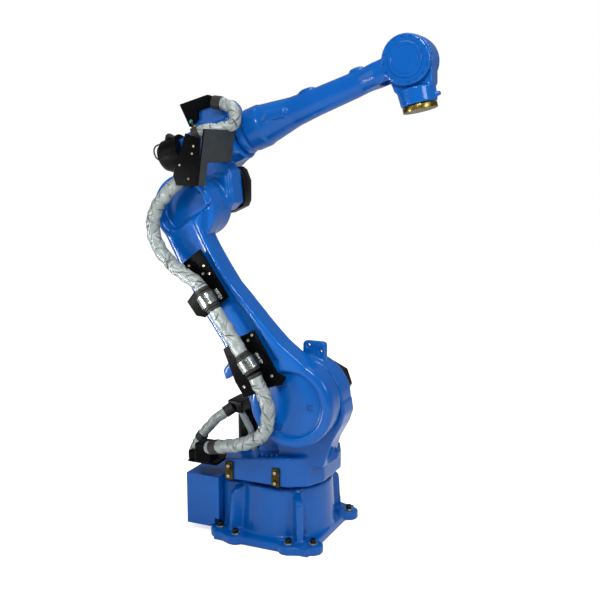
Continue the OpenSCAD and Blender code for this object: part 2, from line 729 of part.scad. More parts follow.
module tool_flange() color(gold) {
    floor_t = 4;
    in_wrist() translate([0, 0, tool_reach - tool_t]) difference() {
        cylinder(d = tool_d, h = tool_t, $fn = round_fn);
        for (k = [0 : 5]) {
            rotate([0, 0, 60 * k]) translate([tool_pcd / 2, 0, floor_t])
                cylinder(d = tool_hole_d, h = tool_t, $fn = 32);
        }
    }
}

base_casting();
connection_box();
turret_casting();
stop_plate_rear();
stop_plate_front();
turret_motor();
turret_motor_connector();
shoulder_motor();
rear_hose_bracket();
rear_hose_clamp();
turret_hose();
lower_arm_casting();
lower_hub_cover();
lower_hose_bracket();
upper_hose_bracket();
lower_coupling();
upper_coupling();
arm_hose();
lower_hose();
upper_hose();
upper_arm_housing();
elbow_motor();
wrist_motor();
hose_plate();
top_plate();
top_hose();
forearm_casting();
wrist_cover_near();
wrist_cover_far();
wrist_housing();
tool_flange();
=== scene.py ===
import json
import math
import bmesh
import bpy
import numpy as np
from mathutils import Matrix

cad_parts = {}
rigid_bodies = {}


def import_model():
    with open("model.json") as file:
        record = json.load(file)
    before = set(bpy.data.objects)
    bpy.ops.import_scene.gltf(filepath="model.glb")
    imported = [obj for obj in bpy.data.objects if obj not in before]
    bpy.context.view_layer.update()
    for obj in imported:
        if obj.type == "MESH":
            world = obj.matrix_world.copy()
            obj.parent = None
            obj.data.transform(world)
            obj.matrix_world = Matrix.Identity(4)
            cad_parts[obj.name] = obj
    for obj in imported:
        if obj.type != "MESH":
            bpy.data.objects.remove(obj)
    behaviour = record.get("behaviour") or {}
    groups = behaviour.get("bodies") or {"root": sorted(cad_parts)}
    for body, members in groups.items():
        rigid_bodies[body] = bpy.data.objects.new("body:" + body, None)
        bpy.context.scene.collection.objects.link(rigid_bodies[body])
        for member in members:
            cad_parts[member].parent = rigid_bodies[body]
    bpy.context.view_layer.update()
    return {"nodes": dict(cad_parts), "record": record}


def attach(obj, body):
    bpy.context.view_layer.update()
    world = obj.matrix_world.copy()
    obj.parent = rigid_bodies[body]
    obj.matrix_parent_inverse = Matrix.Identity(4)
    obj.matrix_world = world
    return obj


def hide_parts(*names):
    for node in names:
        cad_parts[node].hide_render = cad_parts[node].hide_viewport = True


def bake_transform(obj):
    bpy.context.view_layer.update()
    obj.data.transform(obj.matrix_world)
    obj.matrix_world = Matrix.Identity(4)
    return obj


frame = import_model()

nodes = frame["nodes"]
motion = frame["record"]["behaviour"]
scene = bpy.context.scene
bodyOf = {node: body for body, held in motion["bodies"].items() for node in held}
print("stage: frame with", len(nodes), "nodes")


# directions and places of the arm, from the frame's joints, in metres
joints = {joint["name"]: joint for joint in motion["joints"]}
shoulder = np.array(joints["shoulder"]["pos_m"])
elbow = np.array(joints["elbow"]["pos_m"])
wrist = np.array(joints["wrist_bend"]["pos_m"])
near = np.array([0.0, -1.0, 0.0])  # towards the camera's side
up = np.array([0.0, 0.0, 1.0])
armAlong = (elbow - shoulder) / np.linalg.norm(elbow - shoulder)
armFront = np.array([armAlong[2], 0, -armAlong[0]])
foreAlong = np.array(joints["forearm_roll"]["axis"])
foreUp = np.array([-foreAlong[2], 0, foreAlong[0]])

# sideways places of the hoses' middle and of faces that carry pieces
sides = {"hose": -0.400, "bracket": -0.360, "hubCover": -0.320, "elbowPocket": -0.280, "hosePlate": -0.420}
wristHalf = 0.080  # from the arm's middle to the face under either wrist cover


def armAt(along, front, y):
    # a place on the lower arm: shoulder + along and front in the arm's own directions, then sideways
    return shoulder + along * armAlong + front * armFront - y * near


def foreAt(along, y, rise):
    # a place on the forearm: elbow + along and rise in the forearm's own directions, then sideways
    return elbow + along * foreAlong + rise * foreUp - y * near


# materials

def linearHex(text):
    # sRGB hex to linear light, with an alpha of 1
    channels = [int(text[i:i + 2], 16) / 255 for i in (1, 3, 5)]
    return [c / 12.92 if c <= 0.04045 else ((c + 0.055) / 1.055) ** 2.4 for c in channels] + [1.0]


def addNode(tree, kind, links=(), **settings):
    # a node with its settings; links are (input name or number, socket)
    made = tree.nodes.new(kind)
    for name, value in settings.items():
        if name.startswith("in_"):
            made.inputs[name[3:].replace("_", " ")].default_value = value
        else:
            setattr(made, name, value)
    for where, socket in links:
        tree.links.new(socket, made.inputs[where])
    return made


def addRamp(tree, source, positions, colours):
    # a ramp between two colours over a value
    ramp = addNode(tree, "ShaderNodeValToRGB", [("Fac", source)])
    for stop, position, colour in zip(ramp.color_ramp.elements, positions, colours):
        stop.position, stop.color = position, linearHex(colour)
    return ramp.outputs["Color"]


# how every finish drifts between its two shades, and how fine its skin is
drift = {"stops": (0.32, 0.68), "detail": 5.0, "skinDetail": 3.0}


def newFinish(name, colours, patch, bump=None, **sockets):
    # Principled surface whose colour drifts between two shades in patches of a size in mm
    # bump is the size and the depth of its skin, in mm
    made = bpy.data.materials.new(name)
    made.use_nodes = True
    tree = made.node_tree
    shader = tree.nodes["Principled BSDF"]
    for socket, value in sockets.items():
        shader.inputs[socket.replace("_", " ")].default_value = value
    place = [("Vector", addNode(tree, "ShaderNodeTexCoord").outputs["Object"])]
    noise = addNode(tree, "ShaderNodeTexNoise", place, in_Scale=1000 / patch, in_Detail=drift["detail"])
    colour = addRamp(tree, noise.outputs["Fac"], drift["stops"], colours)
    tree.links.new(colour, shader.inputs["Base Color"])
    if bump:
        size, depth = bump
        skin = addNode(tree, "ShaderNodeTexNoise", place, in_Scale=1000 / size, in_Detail=drift["skinDetail"])
        height = [("Height", skin.outputs["Fac"])]
        lift = addNode(tree, "ShaderNodeBump", height, in_Distance=depth / 1000, in_Strength=1.0)
        tree.links.new(lift.outputs["Normal"], shader.inputs["Normal"])
    return made


def shadeFolds(material, stops, colours):
    # the cloth's colour times a painted shade, dark in the creases, that the piece's own fold attribute sets
    tree = material.node_tree
    base = tree.nodes["Principled BSDF"].inputs["Base Color"]
    plain = base.links[0].from_socket
    fold = addNode(tree, "ShaderNodeAttribute", attribute_name="fold")
    shade = addRamp(tree, fold.outputs["Fac"], stops, colours)
    mix = addNode(tree, "ShaderNodeMix", data_type="RGBA", blend_type="MULTIPLY")
    mix.inputs[0].default_value = 1.0  # the factor; the two colours are inputs 6 and 7
    tree.links.new(plain, mix.inputs[6])
    tree.links.new(shade, mix.inputs[7])
    tree.links.new(mix.outputs[2], base)


# gloss enamel on sand castings: deep even blue, faintly wavy as the cast skin is, with sharp highlights
bluePaint = newFinish("glossEnamelBlue", ("#004d9b", "#0057a8"), 300, (16, 0.3), Roughness=0.2, IOR=1.42,
                      Coat_Weight=0.25, Coat_Roughness=0.05, Specular_IOR_Level=0.28)
# black powder coat on sheet steel: satin with a fine pebble
blackCoat = newFinish("powderCoatBlack", ("#030304", "#07080a"), 90, (4, 0.12), Roughness=0.38, IOR=1.4,
                      Specular_IOR_Level=0.06)
# the hose plate's black powder coat again, lighter, for its side panel: a painted sheen, dark grey against
# the plate's black front
sheenBlackCoat = newFinish("powderCoatBlackPaintedSheen", ("#2b2f31", "#34383a"), 90, (4, 0.12), Roughness=0.45,
                         IOR=1.4, Specular_IOR_Level=0.2)
# motor enamel: dull black
motorBlack = newFinish("motorEnamelBlack", ("#020203", "#060607"), 70, (6, 0.15), Roughness=0.36, IOR=1.4,
                       Specular_IOR_Level=0.2)
# aluminised cloth of the sleeves: soft silver grey with a fine weave, and painted shade where the folds go in
silverCloth = newFinish("aluminisedCloth", ("#848d8c", "#9ca4a2"), 60, (3, 0.3), Roughness=0.42, IOR=1.45,
                        Metallic=0.25)
shadeFolds(silverCloth, (0.0, 0.75), ("#555d5b", "#ffffff"))
# bright zinc on the hose saddles: cool pale metal, crumpled enough to sparkle
zincPlate = newFinish("brightZincPlate", ("#7f8a88", "#c3c9c7"), 16, (9, 0.9), Roughness=0.22, Metallic=1.0)
# yellow chromate on steel: brownish gold with an uneven drift
goldPlate = newFinish("yellowChromate", ("#2a230c", "#594b24"), 24, (5, 0.1), Roughness=0.3, Metallic=1.0)
# the same plating on the turned tool flange: a brighter copy, its olive gold lighter as a painted highlight
flangeGoldPaintedHighlight = newFinish("yellowChromateTurnedPaintedHighlight", ("#5f5226", "#978546"), 24, (5, 0.1), Roughness=0.3,
                       Metallic=1.0)
# black oxide on socket screws: near black with an oily sheen
boltBlack = newFinish("blackOxideSteel", ("#0d0d0f", "#222325"), 12, None, Roughness=0.33, Metallic=0.6)
# turned steel of washers and small screws: pale warm grey
washerSteel = newFinish("turnedSteel", ("#b4b09d", "#dad6c6"), 14, None, Roughness=0.3, Metallic=1.0)
# rubber of cuffs, couplings and wires: flat black
cuffRubber = newFinish("cuffRubber", ("#0c0c0d", "#19191a"), 25, (3, 0.2), Roughness=0.62, IOR=1.5)
# green nylon of the upper air fitting: dull teal
fittingNylon = newFinish("fittingNylonTeal", ("#1f6f66", "#2f8a7d"), 12, None, Roughness=0.4, IOR=1.5)
# brass of the lower air fitting: warm yellow metal
fittingBrass = newFinish("fittingBrass", ("#9a8438", "#cdb762"), 10, None, Roughness=0.28, Metallic=1.0)
print("stage: materials")


# pieces from whole arrays

def linkMesh(name, mesh):
    # an object at the origin that holds the mesh
    piece = bpy.data.objects.new(name, mesh)
    scene.collection.objects.link(piece)
    return piece


def dress(piece, material, smooth):
    # one material for the whole piece, shaded smooth or flat
    piece.data.polygons.foreach_set("use_smooth", [smooth] * len(piece.data.polygons))
    piece.data.materials.clear()
    piece.data.materials.append(material)


def addPiece(name, points, quads, material, body, smooth=True, replaced=()):
    # a piece from an array of points and its faces; it rides on a body and may stand in for nodes
    mesh = bpy.data.meshes.new(name)
    mesh.from_pydata(np.asarray(points).reshape(-1, 3).tolist(), [], quads)
    piece = linkMesh(name, mesh)
    dress(piece, material, smooth)
    if body:
        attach(piece, body)
    if replaced:
        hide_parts(*replaced)
    return piece


def gridFaces(rows, cols, ring=False):
    # quads of a grid that closes round its columns
    # a ring closes round its rows too, and any other grid has a flat face at either end
    i, j = np.meshgrid(np.arange(rows if ring else rows - 1), np.arange(cols), indexing="ij")
    k, n = (j + 1) % cols, (i + 1) % rows
    quads = np.stack([i * cols + j, i * cols + k, n * cols + k, n * cols + j], -1).reshape(-1, 4).tolist()
    ends = [] if ring else [list(range(cols))[::-1], list(range((rows - 1) * cols, rows * cols))]
    return quads + ends


def roundAngles(count):
    # even angles over one turn
    return np.arange(count) * 2 * math.pi / count


def lathe(profile, count, ring=False):
    # radius and height pairs turned about Z: x = r cos a, y = r sin a, z = h
    profile = np.asarray(profile, float)
    a = roundAngles(count)
    r, h = profile[:, :1], profile[:, 1:]
    points = np.stack([r * np.cos(a), r * np.sin(a), h + 0 * a], -1)
    return points.reshape(-1, 3), gridFaces(len(profile), count, ring)


# a cap screw's head, in shares of its diameter
screwHead = {"shoulder": 0.58, "top": 0.64, "topRadius": 0.45, "socket": 0.27, "floor": 0.3, "draft": 0.97}


def socketScrew(d, count=24):
    # cap screw head with a hexagon socket: the inner rings take the hexagon's radius at each angle
    a = roundAngles(count)
    hexagon = screwHead["socket"] * d / np.cos((a + math.pi / 6) % (math.pi / 3) - math.pi / 6)
    flat = 0 * a
    top = screwHead["top"] * d
    rings = [(flat + 0.5 * d, 0), (flat + 0.5 * d, screwHead["shoulder"] * d),
             (flat + screwHead["topRadius"] * d, top), (hexagon, top),
             (hexagon * screwHead["draft"], screwHead["floor"] * d)]
    points = np.concatenate([np.stack([r * np.cos(a), r * np.sin(a), flat + h], -1) for r, h in rings])
    return points, gridFaces(len(rings), count)


def facing(direction):
    # rotation that turns Z to a direction
    oblique = (0.31, 0.87, 0.38)  # no piece faces this way, so the cross product never vanishes
    z = np.asarray(direction, float) / np.linalg.norm(direction)
    x = np.cross(z, oblique)
    x /= np.linalg.norm(x)
    return np.stack([x, np.cross(z, x), z], -1)


def scatter(name, shape, spots, direction, material, body, smooth=False):
    # copies of one shape at many spots, all turned to one direction, in one mesh
    points, quads = shape
    spots = np.asarray(spots, float).reshape(-1, 3)
    turned = points @ facing(direction).T
    many = (spots[:, None, :] + turned[None]).reshape(-1, 3)
    copied = [[i + k * len(points) for i in quad] for k in range(len(spots)) for quad in quads]
    return addPiece(name, many, copied, material, body, smooth)


def ringSpots(centre, radius, count, first, u, v):
    # evenly spaced spots on a circle in the plane of u and v
    a = np.radians(first) + roundAngles(count)
    return np.asarray(centre) + radius * (np.cos(a)[:, None] * u + np.sin(a)[:, None] * v)


# copies of the solids: merging distance in metres, flatness and sharpness of edges in degrees
copies = {"merge": 0.00005, "flat": 0.5, "sharp": 35, "segments": 3, "softening": 0.5}


def mergedMesh(name, joinFlat):
    # the solid's own mesh with its loose triangles merged, and flat faces joined where asked
    mesh = nodes[name].data.copy()
    work = bmesh.new()
    work.from_mesh(mesh)
    bmesh.ops.remove_doubles(work, verts=work.verts, dist=copies["merge"])
    if joinFlat:
        flat = math.radians(copies["flat"])
        bmesh.ops.dissolve_limit(work, angle_limit=flat, verts=work.verts, edges=work.edges)
    work.to_mesh(mesh)
    work.free()
    return mesh


def standIn(piece, name, material):
    # the piece takes its solid's place, on the same body
    dress(piece, material, True)
    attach(piece, bodyOf[name])
    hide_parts(name)
    return piece


def roundedCopy(name, width, material):
    # the solid's own shape with its edges bevelled so that they catch the light
    piece = linkMesh(name + "Rounded", mergedMesh(name, True))
    edge = piece.modifiers.new("edge", "BEVEL")
    edge.width, edge.segments = width, copies["segments"]
    edge.limit_method, edge.angle_limit = "ANGLE", math.radians(copies["sharp"])
    edge.harden_normals = True
    return standIn(piece, name, material)


def castSkin(name, voxel, rounds):
    # voxel skin of the solid, then neighbours averaged a few times so that edges turn to fillets
    piece = linkMesh(name + "Skin", mergedMesh(name, False))
    skin = piece.modifiers.new("skin", "REMESH")
    skin.mode, skin.voxel_size, skin.use_smooth_shade = "VOXEL", voxel, True
    soften = piece.modifiers.new("soften", "SMOOTH")
    soften.factor, soften.iterations = copies["softening"], rounds
    baked = bpy.data.meshes.new_from_object(piece.evaluated_get(bpy.context.evaluated_depsgraph_get()))
    piece.modifiers.clear()
    piece.data = baked
    return standIn(piece, name, bluePaint)


# castings: voxel size and rounds of smoothing, for the soft edges and fillets of a painted casting
castings = {
    "base_casting": (0.0055, 14), "turret_casting": (0.0055, 16), "lower_arm_casting": (0.0055, 24),
    "upper_arm_housing": (0.0055, 14), "forearm_casting": (0.0045, 18), "wrist_housing": (0.004, 10),
}
for name, (voxel, rounds) in castings.items():
    made = castSkin(name, voxel, rounds)
    print("casting", name, 2 * len(made.data.polygons), "triangles")

# sheet metal, motors and plates: the width of each one's rounded edges
plates = {
    bluePaint: {"connection_box": 0.008, "lower_hub_cover": 0.003},
    blackCoat: {"rear_hose_bracket": 0.003, "rear_hose_clamp": 0.010, "lower_hose_bracket": 0.002,
                "upper_hose_bracket": 0.002, "hose_plate": 0.002, "top_plate": 0.003},
    motorBlack: {"shoulder_motor": 0.006, "elbow_motor": 0.007, "wrist_motor": 0.006,
                 "turret_motor_connector": 0.006, "turret_motor": 0.003},
    goldPlate: {"stop_plate_rear": 0.002, "stop_plate_front": 0.002},
    flangeGoldPaintedHighlight: {"tool_flange": 0.0012},
    cuffRubber: {"lower_coupling": 0.002, "upper_coupling": 0.002},
}
for material, widths in plates.items():
    for name, width in widths.items():
        roundedCopy(name, width, material)

# painted sheen: the hose plate's faces that look forward take the lighter copy of its black coat
sheenPanel = {"piece": "hose_plateRounded", "forward": 0.5}  # least x of the normals that count
panel = bpy.data.objects[sheenPanel["piece"]].data
panel.materials.append(sheenBlackCoat)
forward = [int(face.normal.x > sheenPanel["forward"]) for face in panel.polygons]
panel.polygons.foreach_set("material_index", forward)
print("stage: castings and plates")

# sleeves: creased cloth along the hose routes
# lead sets where a tube's seam lies, and spacing is the length of hose for each crease
hoseY = sides["hose"]
sleeves = {
    "lowerSleeve": {
        "replaced": ("lower_hose",), "body": None, "radius": 0.032,
        "lead": (0, 1, 0), "seed": 4, "spacing": 0.005,
        "route": [armAt(0.208, -0.051, hoseY), armAt(0.165, -0.055, hoseY), (0.088, hoseY, 0.780),
                  (0.098, hoseY, 0.700), (0.072, hoseY, 0.622), (0, -0.392, 0.572), (-0.090, -0.370, 0.535),
                  (-0.190, -0.345, 0.508), (-0.275, -0.312, 0.480)]},
    "upperSleeve": {
        "replaced": ("upper_hose",), "body": None, "radius": 0.032,
        "lead": (1, 0, 0.3), "seed": 9, "spacing": 0.005,
        "route": [armAt(0.662, -0.078, hoseY), armAt(0.707, -0.083, hoseY), armAt(0.777, -0.119, hoseY),
                  armAt(0.852, -0.154, hoseY), armAt(0.954, -0.176, hoseY), armAt(1.048, -0.156, hoseY),
                  armAt(1.117, -0.098, -0.395), foreAt(-0.024, -0.387, 0.085),
                  foreAt(0.075, -0.382, 0.123)]},
    "turretSleeve": {
        "replaced": ("turret_hose",), "body": "turret", "radius": 0.025,
        "lead": (0, 1, 0), "seed": 5, "spacing": 0.005,
        "route": [(-0.232, -0.140, 0.648), (-0.300, -0.192, 0.592), (-0.358, -0.204, 0.524),
                  (-0.406, -0.206, 0.454), (-0.430, -0.208, 0.404)]},
    "topSleeve": {
        "replaced": ("top_hose",), "body": "upper_arm", "radius": 0.029,
        "lead": (0, 1, 0), "seed": 7, "spacing": 0.005,
        "route": [foreAt(0.136, -0.250, 0.320), foreAt(0.194, -0.230, 0.322), foreAt(0.256, -0.200, 0.308),
                  foreAt(0.308, -0.172, 0.305), foreAt(0.335, -0.152, 0.334), foreAt(0.329, -0.142, 0.381),
                  foreAt(0.291, -0.134, 0.422), foreAt(0.238, -0.132, 0.453)]},
    "armSleeve": {
        "replaced": ("arm_hose",), "body": "lower_arm", "radius": 0.032,
        "lead": (0, 1, 0), "seed": 3, "spacing": 0.016,
        "route": [armAt(0.302, -0.054, hoseY), armAt(0.4, -0.061, hoseY), armAt(0.5, -0.068, hoseY),
                  armAt(0.576, -0.073, hoseY)]},
    "motorSleeve": {
        "replaced": (), "body": "turret", "radius": 0.016,
        "lead": (0, 1, 0), "seed": 6, "spacing": 0.005,
        "route": [(-0.205, -0.122, 0.640), (-0.176, -0.116, 0.590), (-0.150, -0.112, 0.540),
                  (-0.134, -0.110, 0.480), (-0.128, -0.110, 0.425)]},
}
# cloth: its grid, what the creases are drawn from, and two slow bulges as height and length
# swell is the share that it stands off the hose, fade the length over which it meets its ends
# foldGain sets how fast the painted shade darkens with a crease's depth
cloth = {
    "turn": 96, "step": 0.002, "angle": (0, 6.28), "slant": 0.024, "reach": (0.5, 1.5),
    "depth": (0.04, 0.17), "width": (0.002, 0.0055), "longBulge": (0.045, 0.085),
    "shortBulge": (0.035, 0.052), "swell": 0.04, "fade": 0.03, "foldGain": 9,
}
curve = {"parts": 40, "fewest": 8}  # parts between two points of a route, fewest steps of a path


def routeCurve(route, step):
    # Catmull-Rom curve through the route, cut to even steps
    p = np.asarray(route, float)
    q = np.concatenate([p[:1], p, p[-1:]])
    t = np.linspace(0, 1, curve["parts"], endpoint=False)[None, :, None]
    a, b, c, d = (q[k:len(q) - 3 + k][:, None] for k in range(4))
    square, cube = 2 * a - 5 * b + 4 * c - d, 3 * b - a - 3 * c + d
    fine = 0.5 * (2 * b + (c - a) * t + square * t ** 2 + cube * t ** 3)
    fine = np.concatenate([fine.reshape(-1, 3), p[-1:]])
    run = np.concatenate([[0], np.cumsum(np.linalg.norm(np.diff(fine, axis=0), axis=1))])
    even = np.linspace(0, run[-1], max(curve["fewest"], int(run[-1] / step)))
    return np.stack([np.interp(even, run, fine[:, k]) for k in range(3)], -1), even


def tubeGrid(path, radius, lead):
    # a circle of a given radius field carried along the path: point = path + r (cos a side + sin a over)
    t = np.gradient(path, axis=0)
    t /= np.linalg.norm(t, axis=1)[:, None]
    side = np.cross(t, np.asarray(lead, float))
    side /= np.linalg.norm(side, axis=1)[:, None]
    over = np.cross(t, side)
    a = roundAngles(radius.shape[1])[:, None]
    return path[:, None] + radius[..., None] * (np.cos(a) * side[:, None] + np.sin(a) * over[:, None])


def creased(run, seed, spacing):
    # cloth relief: each crease is a valley, -d e^(-x/w) at a distance x from a slanted line round the hose,
    # fading along that line; the deepest one counts at each point, and two sine bulges lie under them
    rng = np.random.default_rng(seed)
    a = roundAngles(cloth["turn"])[None]
    u = run[:, None]
    count = int(run[-1] / spacing)
    starts = rng.uniform(0, run[-1], count)
    angles = rng.uniform(*cloth["angle"], count)
    slants = rng.normal(0, cloth["slant"], count)
    reaches = rng.uniform(*cloth["reach"], count)
    depths = rng.uniform(*cloth["depth"], count)
    widths = rng.uniform(*cloth["width"], count)
    longPhase, shortPhase = rng.uniform(*cloth["angle"], 2)
    valley = np.zeros((len(run), cloth["turn"]))
    for start, angle, slant, reach, depth, width in zip(starts, angles, slants, reaches, depths, widths):
        swing = (a - angle + math.pi) % (2 * math.pi) - math.pi
        away = np.abs(u - start - slant * swing)
        fading = np.clip(1 - (swing / reach) ** 2, 0, 1)
        valley = np.minimum(valley, -depth * np.exp(-away / width) * fading)
    (longHeight, longLength), (shortHeight, shortLength) = cloth["longBulge"], cloth["shortBulge"]
    longBulge = longHeight * np.sin(2 * math.pi * u / longLength + a + longPhase)
    shortBulge = shortHeight * np.sin(2 * math.pi * u / shortLength - 2 * a + shortPhase)
    ends = np.clip(np.minimum(run, run[-1] - run) / cloth["fade"], 0, 1)[:, None]
    return (valley + longBulge + shortBulge + cloth["swell"]) * ends, valley * ends


def addSleeve(name):
    # a tube along the route with a radius of r (1 + relief); the folds' depth is kept for the material's
    # painted shade
    sleeve = sleeves[name]
    path, run = routeCurve(sleeve["route"], cloth["step"])
    relief, valley = creased(run, sleeve["seed"], sleeve["spacing"])
    grid = tubeGrid(path, sleeve["radius"] * (1 + relief), sleeve["lead"])
    quads = gridFaces(len(run), cloth["turn"])
    piece = addPiece(name, grid, quads, silverCloth, sleeve["body"], True, sleeve["replaced"])
    fold = piece.data.attributes.new("fold", "FLOAT", "POINT")
    fold.data.foreach_set("value", np.clip(1 + cloth["foldGain"] * valley, 0, 1).ravel())
    return piece


lowerSleeve = addSleeve("lowerSleeve")
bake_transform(lowerSleeve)
upperSleeve = addSleeve("upperSleeve")
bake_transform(upperSleeve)
for name in ("turretSleeve", "topSleeve", "armSleeve", "motorSleeve"):
    addSleeve(name)

# cuffs: sleeve, start and end along its route, radius and body; a start below 0 counts from the far end
cuffs = {
    "lowerEnd": ("lowerSleeve", 0.0, 0.02, 0.0355, "lower_arm"),
    "upperEnd": ("upperSleeve", 0.0, 0.02, 0.0355, "lower_arm"),
    "armEndLow": ("armSleeve", 0.0, 0.02, 0.0355, "lower_arm"),
    "armEndHigh": ("armSleeve", -0.02, 0.0, 0.0355, "lower_arm"),
    "lowerCuff": ("lowerSleeve", -0.085, -0.03, 0.036, "turret"),
    "turretCuffLow": ("turretSleeve", -0.125, -0.085, 0.030, "turret"),
    "turretCuffTop": ("turretSleeve", 0.0, 0.05, 0.030, "turret"),
    "topCuffRear": ("topSleeve", 0.0, 0.035, 0.033, "upper_arm"),
    "topCuffFront": ("topSleeve", -0.05, 0.0, 0.033, "upper_arm"),
}
band = {"step": 0.003, "turn": 40, "endShare": 0.93}  # endShare is the radius left at either end


def addBand(name, route, start, end, radius, lead, body, material):
    # a plain tube round a route between two distances along it, drawn in a little at either end
    path, run = routeCurve(route, band["step"])
    origin = 0 if start >= 0 else run[-1]
    path = path[(run >= origin + start) & (run <= origin + end)]
    radii = radius * np.ones((len(path), band["turn"]))
    radii[[0, -1]] *= band["endShare"]
    addPiece(name, tubeGrid(path, radii, lead), gridFaces(len(path), band["turn"]), material, body)


for name, (sleeve, start, end, radius, body) in cuffs.items():
    addBand(name, sleeves[sleeve]["route"], start, end, radius, (0, 1, 0), body, cuffRubber)
print("stage: sleeves")

# hose saddles: a bright strap over each coupling, with an ear on either side
# the hose lies at an offset from the arm's line at the first station, and leans off it by a slope
saddles = {
    "stations": {"lowerSaddle": 0.260, "upperSaddle": 0.618}, "offset": -0.051, "slope": -0.0699,
    "length": 0.056, "over": 0.0425, "ear": 0.053, "thick": 0.003, "bendOut": 0.003, "bendUp": 0.004,
    "arcPoints": 25, "rows": 5, "screw": 0.009, "screwAlong": 0.016, "screwAcross": 0.048,
}
firstStation = saddles["stations"]["lowerSaddle"]


def addSaddle(name, station):
    # strap outline across the hose: ear, riser, half circle over the hose, riser, ear
    # it is offset along its normals by the strap's thickness, and carried along the hose
    r, ear, thick = (saddles[key] for key in ("over", "ear", "thick"))
    foot, rise = r + saddles["bendOut"], saddles["bendUp"]
    face = sides["bracket"]
    arc = np.radians(np.linspace(180, 0, saddles["arcPoints"]))
    bow = np.stack([r * np.cos(arc), face - sides["hose"] + r * np.sin(arc)], -1)
    line = np.concatenate([[(-ear, 0), (-foot, 0), (-r, rise)], bow, [(r, rise), (foot, 0), (ear, 0)]])
    tangent = np.gradient(line, axis=0)
    normal = np.stack([-tangent[:, 1], tangent[:, 0]], -1) / np.linalg.norm(tangent, axis=1)[:, None]
    loop = np.concatenate([line, (line + thick * normal)[::-1]])
    middle = armAt(station, saddles["offset"] + saddles["slope"] * (station - firstStation), face)
    along = armAlong + saddles["slope"] * armFront
    along /= np.linalg.norm(along)
    side = np.cross(along, -near)
    steps = np.linspace(-0.5, 0.5, saddles["rows"]) * saddles["length"]
    across, out = loop[None, :, :1], loop[None, :, 1:]
    grid = middle + steps[:, None, None] * along + across * side + out * near
    addPiece(name, grid, gridFaces(len(steps), len(loop)), zincPlate, "lower_arm", False)
    screwAlong, screwAcross = saddles["screwAlong"] * along, saddles["screwAcross"] * side
    spots = [middle + i * screwAlong + j * screwAcross + thick * near for i in (-1, 1) for j in (-1, 1)]
    scatter(name + "Screws", socketScrew(saddles["screw"]), spots, near, washerSteel, "lower_arm")


for name, station in saddles["stations"].items():
    addSaddle(name, station)
print("stage: saddles")

# foot bolts: two at each corner of the foot, each on a turned washer
footBolt = {
    "head": 0.030, "headSides": 30, "corner": ((0.146, 0.285), (0.257, 0.237)), "footTop": 0.045,
    "washer": [(0.0115, 0), (0.022, 0), (0.022, 0.0045), (0.021, 0.005), (0.0115, 0.005)],
    "washerSides": 36, "washerTop": 0.005,
}
footSpots = np.array([(i * x, j * y, footBolt["footTop"]) for x, y in footBolt["corner"]
                      for i in (-1, 1) for j in (-1, 1)])
footWasher = lathe(footBolt["washer"], footBolt["washerSides"])
footHead = socketScrew(footBolt["head"], footBolt["headSides"])
scatter("footWashers", footWasher, footSpots, up, washerSteel, "base", True)
scatter("footBolts", footHead, footSpots + footBolt["washerTop"] * up, up, boltBlack, "base")

# column screws: a ring that faces up, round the base's column
column = {"screw": 0.012, "height": 0.290, "radius": 0.2345, "count": 28, "first": 6}
columnSpots = ringSpots(column["height"] * up, column["radius"], column["count"], column["first"],
                        np.array([1, 0, 0]), -near)
scatter("columnScrews", socketScrew(column["screw"]), columnSpots, up, boltBlack, "base")

# stop plate screws: two in each gold plate
stops = {"screw": 0.016, "across": (-0.184, 0.072), "heights": (0.337, 0.389), "face": -0.277}
stopSpots = [(x, stops["face"], z) for x in stops["across"] for z in stops["heights"]]
scatter("stopScrews", socketScrew(stops["screw"]), stopSpots, near, washerSteel, "turret")

# flange screws: a painted row on the turret that climbs forward; row is its start, its end and its pitch
flange = {"screw": 0.018, "row": (-0.040, 0.070, 0.026), "face": -0.236, "height": 0.451, "slope": 0.12}
flangeRow = np.arange(*flange["row"])
flangeSpots = [(x, flange["face"], flange["height"] + flange["slope"] * x) for x in flangeRow]
scatter("flangeScrews", socketScrew(flange["screw"]), flangeSpots, up, bluePaint, "turret")

# hub seal: painted, in the groove round the hub cover, a shallow fillet from its edge up the pocket's wall
hubSeal = {
    "profile": [(0.1590, -0.006), (0.1590, 0.008), (0.1570, 0.003), (0.1545, 0.000), (0.1510, -0.0015),
                (0.1485, -0.001), (0.1485, -0.006)],
    "turn": 120,
}
hubCentre = armAt(0, 0, sides["hubCover"])
points, quads = lathe(hubSeal["profile"], hubSeal["turn"], True)
addPiece("hubSeal", points @ facing(near).T + hubCentre, quads, bluePaint, "lower_arm")

# hub screws: painted groups of four, each at a radius and an angle from the arm's line
hubScrew = {
    "head": 0.011, "groups": ((0.096, 5), (0.096, 125), (0.130, 242)), "halfGap": 0.009, "halfAngle": 6,
}
hubSpots = []
for radius, angle in hubScrew["groups"]:
    for r in (radius - hubScrew["halfGap"], radius + hubScrew["halfGap"]):
        for t in np.radians((angle - hubScrew["halfAngle"], angle + hubScrew["halfAngle"])):
            hubSpots.append(hubCentre + r * (math.cos(t) * armAlong + math.sin(t) * armFront))
scatter("hubScrews", socketScrew(hubScrew["head"]), hubSpots, near, bluePaint, "lower_arm")

# elbow screws: those of a ring in the pocket that lie on its upper side
elbowScrew = {"head": 0.014, "radius": 0.106, "count": 12, "first": 15, "least": 0.05}
pocketCentre = foreAt(0, sides["elbowPocket"], 0)
elbowSpots = ringSpots(pocketCentre, elbowScrew["radius"], elbowScrew["count"], elbowScrew["first"],
                       armAlong, armFront)
upperSide = (elbowSpots - pocketCentre) @ (armAlong + armFront) > elbowScrew["least"]
scatter("elbowScrews", socketScrew(elbowScrew["head"]), elbowSpots[upperSide], near, boltBlack, "lower_arm")

